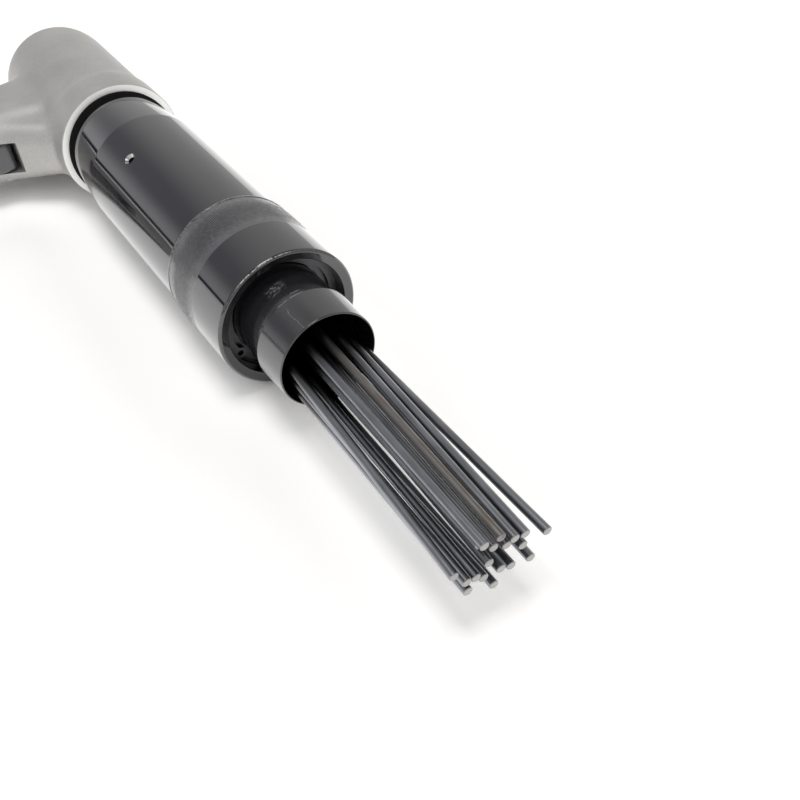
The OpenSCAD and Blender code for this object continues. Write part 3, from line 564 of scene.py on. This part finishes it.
coil_sizes = {
    "Turns": "Float", "Radius": "Float", "Length": "Float", "Wire": "Float", "Sides": "Int",
    "End Pitch": "Float", "Look": "Material",
}
coil_tree, size = geometry_tree("wound_wire", coil_sizes)
spiral = size["Turns"].make("GeometryNodeCurveSpiral", {
    "Resolution": 32, "Rotations": size["Turns"], "Start Radius": size["Radius"],
    "End Radius": size["Radius"], "Height": size["Length"],
})
along = spiral.make("GeometryNodeSplineParameter")
here = spiral.make("GeometryNodeInputPosition")
rise = size["Length"] * (along * size["End Pitch"] + (1 - size["End Pitch"]) * along.step(0.1, 0.9))
place = here.make("ShaderNodeCombineXYZ", (here.part("X"), here.part("Y"), rise))
spiral = spiral.make("GeometryNodeSetPosition", {"Geometry": spiral, "Position": place})
wire = spiral.make("GeometryNodeCurvePrimitiveCircle", {"Resolution": size["Sides"], "Radius": size["Wire"]})
swept = spiral.make("GeometryNodeCurveToMesh", {"Curve": spiral, "Profile Curve": wire, "Fill Caps": True})
end_tree(swept, size["Look"])


def coil(low, high, radius, wire, turns, look, place, sides=16, end_pitch=0.5):
    """A wound wire along x from low to high, outside to outside, in millimetres."""
    mesh = grown(
        coil_tree, Turns=float(turns), Radius=radius, Length=high - low - wire, Wire=wire / 2, Sides=sides,
        End_Pitch=float(end_pitch), Look=look,
    )
    mesh.transform(place @ Matrix.Translation((low + wire / 2, 0, 0)) @ Matrix.Rotation(math.pi / 2, 4, "Y"))
    return smooth(mesh)


spring_steel, shader, at = material("spring_steel", Metallic=1.0)
scale = at.noise(900.0, 3.0)
feed(shader, Base_Color=scale.mix((0.20, 0.20, 0.21), (0.34, 0.34, 0.35)), Roughness=scale * 0.2 + 0.25)
SPRING_REAR, SPRING_FRONT = -59.2, -51.2
throttle_coil = coil(
    SPRING_REAR, SPRING_FRONT, radius=2.9, wire=0.7, turns=5, look=spring_steel, place=STEM,
)
spring = piece("throttle_coil", throttle_coil, spring_steel, None, "spring_steel", "throttle_spring")
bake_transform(spring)


def hexagon(across, low, high, place):
    """A hexagonal bar along x, across being the width over its flats."""
    corner = across / math.sqrt(3)
    outline = [(corner * math.cos(math.pi * k / 3), corner * math.sin(math.pi * k / 3)) for k in range(6)]
    return prism(outline, low, high, place @ Matrix.Rotation(math.pi / 2, 4, "Y"))


plated_steel, shader, at = material("plated_steel", Metallic=1.0)
bloom = at.noise(250.0, 3.0)
feed(
    shader,
    Base_Color=bloom.mix((0.36, 0.36, 0.355), (0.50, 0.50, 0.505)),
    Roughness=bloom * 0.18 + 0.24,
    Normal=bump(at.noise(3000.0), 0.00002, 0.3),
)
plug = turned([
    (-67.21, 0, 0), (-67.21, 8.2, 0.8), (-63.81, 8.2, 0.3), (-63.81, 6.94, 0), (-54.81, 6.94, 0.5),
    (-54.81, 3.65, 0), (-59.31, 3.65, 0), (-59.31, 0, 0),
], STEM, 96)
plug = carved(plug, hexagon(across=6.1, low=-70, high=-64.2, place=STEM))
piece("throttle_end_plug", smooth(plug, 0.5), plated_steel, "tool_body", "plated_steel", "throttle_plug")

# Air inlet: a plated hexagon fitting screwed into the grip's end, with the pipe thread for the
# hose coupling in its mouth; a brass screen lies behind it.
inlet = turned([
    (109, 3.5, 0), (109, 9, 0.5), (128, 9, 0), (128, 12.9, 0.8), (137, 12.9, 0.9), (137, 6.6, 0.2),
    (135.6, 5.6, 0.2), (122, 5.6, 0), (122, 3.5, 0),
], DOWN, 96)
round_part = turned([(100, 0, 0), (100, 9.4, 0), (127.95, 9.4, 0), (127.95, 0, 0)], DOWN, 96)
hexagon_part = hexagon(across=22, low=127.9, high=140, place=DOWN)
inlet = carved(inlet, joined(hexagon_part, round_part), operation="INTERSECT")
thread = coil(
    122.5, 136, radius=5.65, wire=0.62, turns=10, look=plated_steel, place=DOWN, sides=3, end_pitch=1,
)
inlet = smooth(joined(inlet, thread), 0.5)
piece("inlet_fitting", inlet, plated_steel, "tool_body", "plated_steel", "air_inlet")

# Air regulator: a plated screw with a slotted head in the back of the grip, turned with a
# screwdriver or a coin; a rubber ring seals its shank.
screw = turned([
    (-70.3, 0, 0), (-70.3, 7, 0.8), (-65.3, 7, 0.3), (-65.3, 4.5, 0), (-61.67, 4.5, 0.15), (-61.67, 3.3, 0),
    (-60.33, 3.3, 0), (-60.33, 4.5, 0.15), (-54.5, 4.5, 0.5), (-52.5, 2.5, 0.3), (-52.5, 0, 0),
], REGULATOR, 96)
slot_tool = prism([(-72, -0.8), (-68.8, -0.8), (-68.8, 0.8), (-72, 0.8)], -9, 9, REGULATOR)
screw = smooth(carved(screw, slot_tool), 0.5)
piece("regulator_turnscrew", screw, plated_steel, "regulator", "plated_steel", "regulator_screw")

# Motor: the steel stack of valve block, cap and cylinder in the sleeve, with the anvil and the
# needle holder in front of it, all turned and heat treated to a dull grey.
motor_steel, shader, at = material("motor_steel", Metallic=1.0)
temper = at.noise(180.0, 3.0)
feed(shader, Base_Color=temper.mix((0.24, 0.24, 0.25), (0.38, 0.37, 0.36)), Roughness=temper * 0.2 + 0.3)
plain_looks(motor_steel, "valve_block", "valve_cap", "cylinder", "anvil", "needle_holder")

# Seal: a soft black rubber ring squeezed between the housing's face and the barrel's tapered
# rear, so that it bulges a little all round.
seal = turned([
    (0.02, 21.75, 0), (0.02, 23.1, 0.4), (2.4, 23.5, 1.0), (5.98, 22.7, 0.3), (5.98, 21.75, 0),
], BARREL, 256)
matt_rubber, shader, at = material("matt_rubber", IOR=1.15)
dust = at.noise(1500.0, 3.0)
feed(shader, Base_Color=dust.mix((0.003, 0.003, 0.003), (0.006, 0.006, 0.006)), Roughness=dust * 0.15 + 0.8)
piece("seal_ring", seal, matt_rubber, "tool_body", "rubber", "barrel_seal")

# Barrel: a steel tube, turned to a taper at its rear, polished and blackened to a gloss, screwed
# into the housing behind and into the collar in front, with four countersunk exhaust holes.
tube = turned([
    (-14.9, 20.5, 0), (-14.9, 21.7, 0.3), (6, 21.7, 0), (6, 22.8, 0.3), (31, 25, 0.4), (106.5, 25, 0.3),
    (107, 24.5, 0.2), (107, 23.4, 0), (134.9, 23.4, 0.4), (134.9, 21.5, 0), (31, 21.5, 0), (6, 20.5, 0),
], BARREL, 384)
HOLES, HOLES_X, FIRST_HOLE = 4, 52.5, 34.6
drill = [(15, 0, 0), (15, 1.4, 0), (23.9, 1.4, 0.1), (25, 2.5, 0), (26, 3.5, 0), (26, 0, 0)]
for hole in range(HOLES):
    turn = Matrix.Rotation(math.radians(FIRST_HOLE + 360 / HOLES * hole), 4, "X")
    outwards = Matrix.Translation((HOLES_X, 0, 0)) @ Matrix.Rotation(-math.pi / 2, 4, "Y")
    tube = carved(tube, turned(drill, BARREL @ turn @ outwards, 64))


def from_axis(at):
    """Along the barrel from the housing's face, around it in degrees from +Y, and out from its axis."""
    mm = at.vector("SUBTRACT", (HOUSING_FACE, AXIS_Y, AXIS_Z)).vector("MULTIPLY", (1 / MM,) * 3)
    x, y, z = [mm.part(axis) for axis in "XYZ"]
    return mm, x, z.math("ARCTAN2", y) * math.degrees(1), (y * y + z * z).math("SQRT")


gloss_black, shader, at = material("gloss_black", IOR=1.75)
mm, x, _, out = from_axis(at)
smears = mm.noise((0.03, 0.09, 0.09), 3.0)
bare = out.within(23.95, 24.9, 0.06) * x.within(49.4, 55.6, 0.2)
feed(
    shader,
    Base_Color=bare.mix(smears.mix((0.010, 0.010, 0.013), (0.018, 0.018, 0.022)), (0.48, 0.475, 0.46)),
    Metallic=bare,
    Roughness=bare.most(smears.step(0.4, 0.8) * 0.25) * 0.2 + 0.06,
)
piece("barrel_tube", smooth(tube, 0.5), gloss_black, "tool_body", "barrel_black", "barrel")

# Collar: a turned steel nut on the barrel's front, blackened, with a straight-knurled band to
# grip it by and a smooth polished front whose rim is rubbed bright from use; its bright rim
# across the top is partly a painted highlight, and its bore and front face are painted darker
# as painted shade.
collar = turned([
    (107, 23.5, 0), (107, 25.2, 0.3), (107.8, 26, 0.4), (108.6, 26, 0.15), (108.8, 25.7, 0.1),
    (127.8, 25.7, 0.1), (128, 26, 0.15), (148.2, 26, 0.4), (149, 25.2, 0.4), (148.2, 22.2, 0.3),
    (143, 22, 0.1), (143, 23.2, 0), (141.2, 23.2, 0), (141.2, 22, 0.1), (135, 22, 0.2), (135, 23.5, 0),
], BARREL, 320)
collar_black, shader, at = material("collar_black", IOR=1.75)
mm, x, around, out = from_axis(at)
nicks = mm.noise((1.2, 1.2, 1.2), 4.0, 0.65)
rim = x.within(148.4, 148.5, 0.14) * out.step(25.4, 25.6)
# Partly wear, partly painted highlight: the rim is painted bright metal across its top.
rim_wear_and_highlight = rim * around.within(92, 124, 12) * nicks.step(0.38, 0.56)
thin_rim = rim * nicks.step(0.5, 0.66)
lip = x.within(107.3, 108.7, 0.15) * nicks.step(0.35, 0.6) * 0.2
worn = rim_wear_and_highlight.most(thin_rim * 0.15).most(lip)
# Painted shade: the polished front face is painted darker than the rest of the coat.
shaded_face = x.step(147.8, 148.0) * out.step(25.4, 25.1)
band = x.within(108.8, 127.8, 0.1)
# Painted shade: the collar's bore is painted near black, darker than its coat.
out_of_bore_shade = out.step(22.0, 22.6)
smears = mm.noise((0.03, 0.09, 0.09), 3.0)
coat = shaded_face.mix(smears.mix((0.010, 0.010, 0.013), (0.018, 0.018, 0.022)), (0.006, 0.006, 0.007))
feed(
    shader,
    Base_Color=worn.mix(out_of_bore_shade.mix((0.003, 0.003, 0.003), coat), (0.74, 0.73, 0.71)),
    Metallic=worn,
    Roughness=(band * 2.0).most(worn * 3.0) * 0.08 + smears.step(0.4, 0.8) * 0.05 + 0.06,
)
piece("collar_nut", collar, collar_black, "tool_body", "collar_black", "front_collar")

knurl_sizes = {
    "Teeth": "Int", "Radius": "Float", "Height": "Float", "Width": "Float", "Length": "Float",
    "Look": "Material",
}
CREST_SHARE = 0.28  # half the diagonal of a tooth's crest, its foot being 1 wide
knurl_tree, size = geometry_tree("straight_knurl", knurl_sizes)
circle = size["Teeth"].make("GeometryNodeMeshCircle", {"Vertices": size["Teeth"], "Radius": size["Radius"]})
circle = circle.make("GeometryNodeTransform", {"Geometry": circle, "Rotation": (0.0, math.pi / 2, 0.0)})
tooth = circle.make("GeometryNodeMeshCone", {
    "Vertices": 4, "Side Segments": 1, "Radius Top": CREST_SHARE, "Radius Bottom": 0.5**0.5, "Depth": 1.0,
})
turned_tooth = tooth.make("GeometryNodeTransform", {"Geometry": tooth, "Rotation": (0.0, 0.0, math.pi / 4)})
extent = size["Length"].make("ShaderNodeCombineXYZ", (size["Length"], size["Width"], size["Height"]))
sized_tooth = turned_tooth.make("GeometryNodeTransform", {"Geometry": turned_tooth, "Scale": extent})
from_centre = {"Vector": circle.make("GeometryNodeInputPosition")}
facing = circle.make("FunctionNodeAlignRotationToVector", from_centre, axis="Z", pivot_axis="X")
teeth = {"Points": circle, "Instance": sized_tooth, "Rotation": facing}
end_tree(circle.make("GeometryNodeInstanceOnPoints", teeth), size["Look"])
knurl_black, shader, at = material("knurl_black", IOR=1.75)
mm, _, _, out = from_axis(at)
grime = mm.noise((0.8, 0.8, 0.8), 4.0)
specks = mm.noise((2.6, 2.6, 2.6), 1.0).step(0.775, 0.79) * out.step(25.85, 25.95)
crest = out.step(25.8, 25.97) * grime.step(0.3, 0.8)
feed(
    shader,
    Base_Color=specks.mix(crest.mix((0.095, 0.095, 0.10), (0.15, 0.15, 0.155)), (0.8, 0.8, 0.78)),
    Metallic=specks,
    Roughness=grime * 0.15 + 0.15,
)
KNURL_MIDDLE = 118.3
knurl = grown(knurl_tree, Teeth=260, Radius=25.8, Height=0.4, Width=0.6, Length=19.0, Look=knurl_black)
knurl.transform(BARREL @ Matrix.Translation((KNURL_MIDDLE, 0, 0)))
piece("collar_knurl", knurl, knurl_black, "tool_body", "collar_black")

# Retaining ring and washer: a stamped spring-steel ring with two plier holes in the collar's
# groove, and the flat washer that it keeps against the nozzle's flange, both phosphated black.
phosphate, shader, at = material("phosphate_black", Metallic=0.9)
oily = at.noise(500.0, 3.0)
feed(shader, Base_Color=oily.mix((0.035, 0.035, 0.037), (0.085, 0.085, 0.09)), Roughness=oily * 0.2 + 0.28)
plain_looks(phosphate, "circlip", "nozzle_washer")

# Nozzle: a turned steel tube that keeps the needles together, free to slide back in the collar;
# its blacking is scuffed where it rubs, and scratched along the cup; its rear bevel is painted
# bright as wear and painted highlight, and its bore is painted near black as painted shade.
nozzle = turned([
    (136, 15.7, 0), (136, 21, 0.3), (139.5, 21, 0.3), (139.5, 17.1, 0), (159.7, 17.1, 0.2),
    (159.7, 17.5, 0.15), (160.6, 18.3, 0.25), (175.1, 17.7, 0.15), (175.4, 17.4, 0.1), (175.4, 17.2, 0.05),
    (173.6, 16.4, 0.3), (163.7, 16.4, 0.2), (162.7, 15.7, 0.2),
], BARREL, 256)
nozzle_black, shader, at = material("nozzle_black", IOR=1.75)
mm, x, around, out = from_axis(at)
cloud = mm.vector("ADD", (3.37, 7.91, 5.23)).noise((0.8, 1.3, 1.3), 8.0, 0.75)
hair = mm.noise((0.35, 2.0, 2.0), 3.0, 0.55)
smear = mm.vector("ADD", (1.37, 4.91, 2.23)).noise((1.9, 0.55, 0.55), 8.0, 0.78)
scuff = x.within(151.5, 152.5, 2.6) * around.within(104, 114, 9) * smear.step(0.49, 0.66)
rub = x.within(157.65, 157.75, 0.1) * around.within(92, 99, 4) * cloud.step(0.3, 0.5)
edge = x.within(160.4, 160.8, 0.15) * out.step(17.3, 17.5)
# Partly wear, partly painted highlight: the cup's rear bevel is painted bright metal over the arc at its
# top.
bevel_wear_and_highlight = edge * around.within(96, 116, 8) * cloud.step(0.4, 0.55)
wander = (mm.noise((0.3, 0.3, 0.3), 4.0, 0.65) - 0.5) * 12.0
line = (around - 116.5 + wander).within(-0.05, 0.05, 0.35)
scratch = x.within(164.5, 174.0, 1.5) * line * cloud.step(0.3, 0.6)
worn = scuff.most(rub * 0.6).most(bevel_wear_and_highlight * 0.8).most(scratch * 0.4)
coat = hair.mix((0.012, 0.012, 0.015), (0.024, 0.024, 0.028))
# Painted shade: the bore and the inside of the cup are painted near black, and they get no wear.
bore_shade = (out.step(17.4, 17.2) * x.step(162.4, 163.4)).most(out.step(16.9, 16.5))
feed(
    shader,
    Base_Color=bore_shade.mix(worn.mix(coat, (0.72, 0.72, 0.71)), (0.008, 0.008, 0.009)),
    Metallic=worn * (1 - bore_shade),
    Roughness=worn * 0.2 + hair * 0.1 + 0.1,
)
piece("nozzle_tube", nozzle, nozzle_black, "nozzle", "nozzle_black", "nozzle")

# Needle spring: wound flat-ended, between the holder and the nozzle's flange. It is cut in two
# halves at its middle.
COIL_REAR, COIL_MIDDLE, COIL_FRONT = 102.1, 118.9, 135.7
middle = BARREL @ Vector((COIL_MIDDLE, 0, 0))
for name, moving_end, body in (("rear", COIL_REAR, "needle_holder"), ("front", COIL_FRONT, "nozzle")):
    half = coil(COIL_REAR, COIL_FRONT, radius=18.8, wire=2.4, turns=6, look=spring_steel, place=BARREL)
    form = bmesh.new()
    form.from_mesh(half)
    everything = [*form.verts, *form.edges, *form.faces]
    bmesh.ops.bisect_plane(
        form, geom=everything, plane_co=middle, plane_no=(1, 0, 0), clear_outer=name == "rear",
        clear_inner=name == "front",
    )
    form.to_mesh(half)
    form.free()
    spring = piece(f"needle_coil_{name}", half, spring_steel, None, "spring_steel", "needle_spring")
    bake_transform(spring)

# Needles: drawn steel rods with upset heads, loose in the holder's holes, dull blue-grey from
# heat and oil, painted black as painted shade where they stay in the nozzle, and paler on the
# ends that strike.
NOZZLE_SHADE = (170, 204)  # how far forward the needles are painted black as shade, and from where they are unshaded
needle_steel, shader, at = material("needle_steel", Metallic=1.0)
mm, x, _, _ = from_axis(at)
drawn = mm.noise((0.03, 1.6, 1.6), 2.0)
oily = mm.noise((0.06, 0.25, 0.25), 3.0)
pits = mm.noise((2.2, 2.2, 2.2), 3.0, 0.6)
end_face = Val(at.tree, at.socket.node.outputs["Normal"]).part("X").step(0.55, 0.9)
# Painted shade: the shank is painted near black where it stays inside the nozzle.
unshaded = x.step(*NOZZLE_SHADE)
steel = (drawn * 0.35 + oily * 0.65).step(0.3, 0.7).mix((0.155, 0.159, 0.172), (0.25, 0.254, 0.27))
shank = unshaded.mix((0.02, 0.02, 0.021), steel)
feed(
    shader,
    Base_Color=end_face.mix(shank, pits.mix((0.24, 0.236, 0.227), (0.40, 0.39, 0.375))),
    Roughness=end_face * 0.2 + oily * 0.1 + 0.28,
    Normal=bump(pits, 0.00002, 0.2),
)
needle_rusty, shader, at = material("needle_rusty", Metallic=0.9)
mm, x, _, _ = from_axis(at)
pits = mm.noise((1.5, 1.5, 1.5), 4.0, 0.65)
patches = mm.noise((0.09, 0.5, 0.5), 3.0).step(0.42, 0.66)
rust = pits.mix((0.105, 0.086, 0.070), (0.19, 0.163, 0.139))
# Painted shade: the rusty needle is painted near black where it stays inside the nozzle, too.
unshaded = x.step(*NOZZLE_SHADE)
feed(
    shader,
    Base_Color=unshaded.mix((0.02, 0.02, 0.02), patches.mix((0.18, 0.177, 0.172), rust)),
    Roughness=patches * 0.12 + pits * 0.08 + 0.34,
    Normal=bump(pits, 0.00002, 0.2),
)
plain_looks(needle_steel, *[name for name in nodes if name.removeprefix("needle_").isdigit()])
plain_looks(needle_rusty, "needle_11")
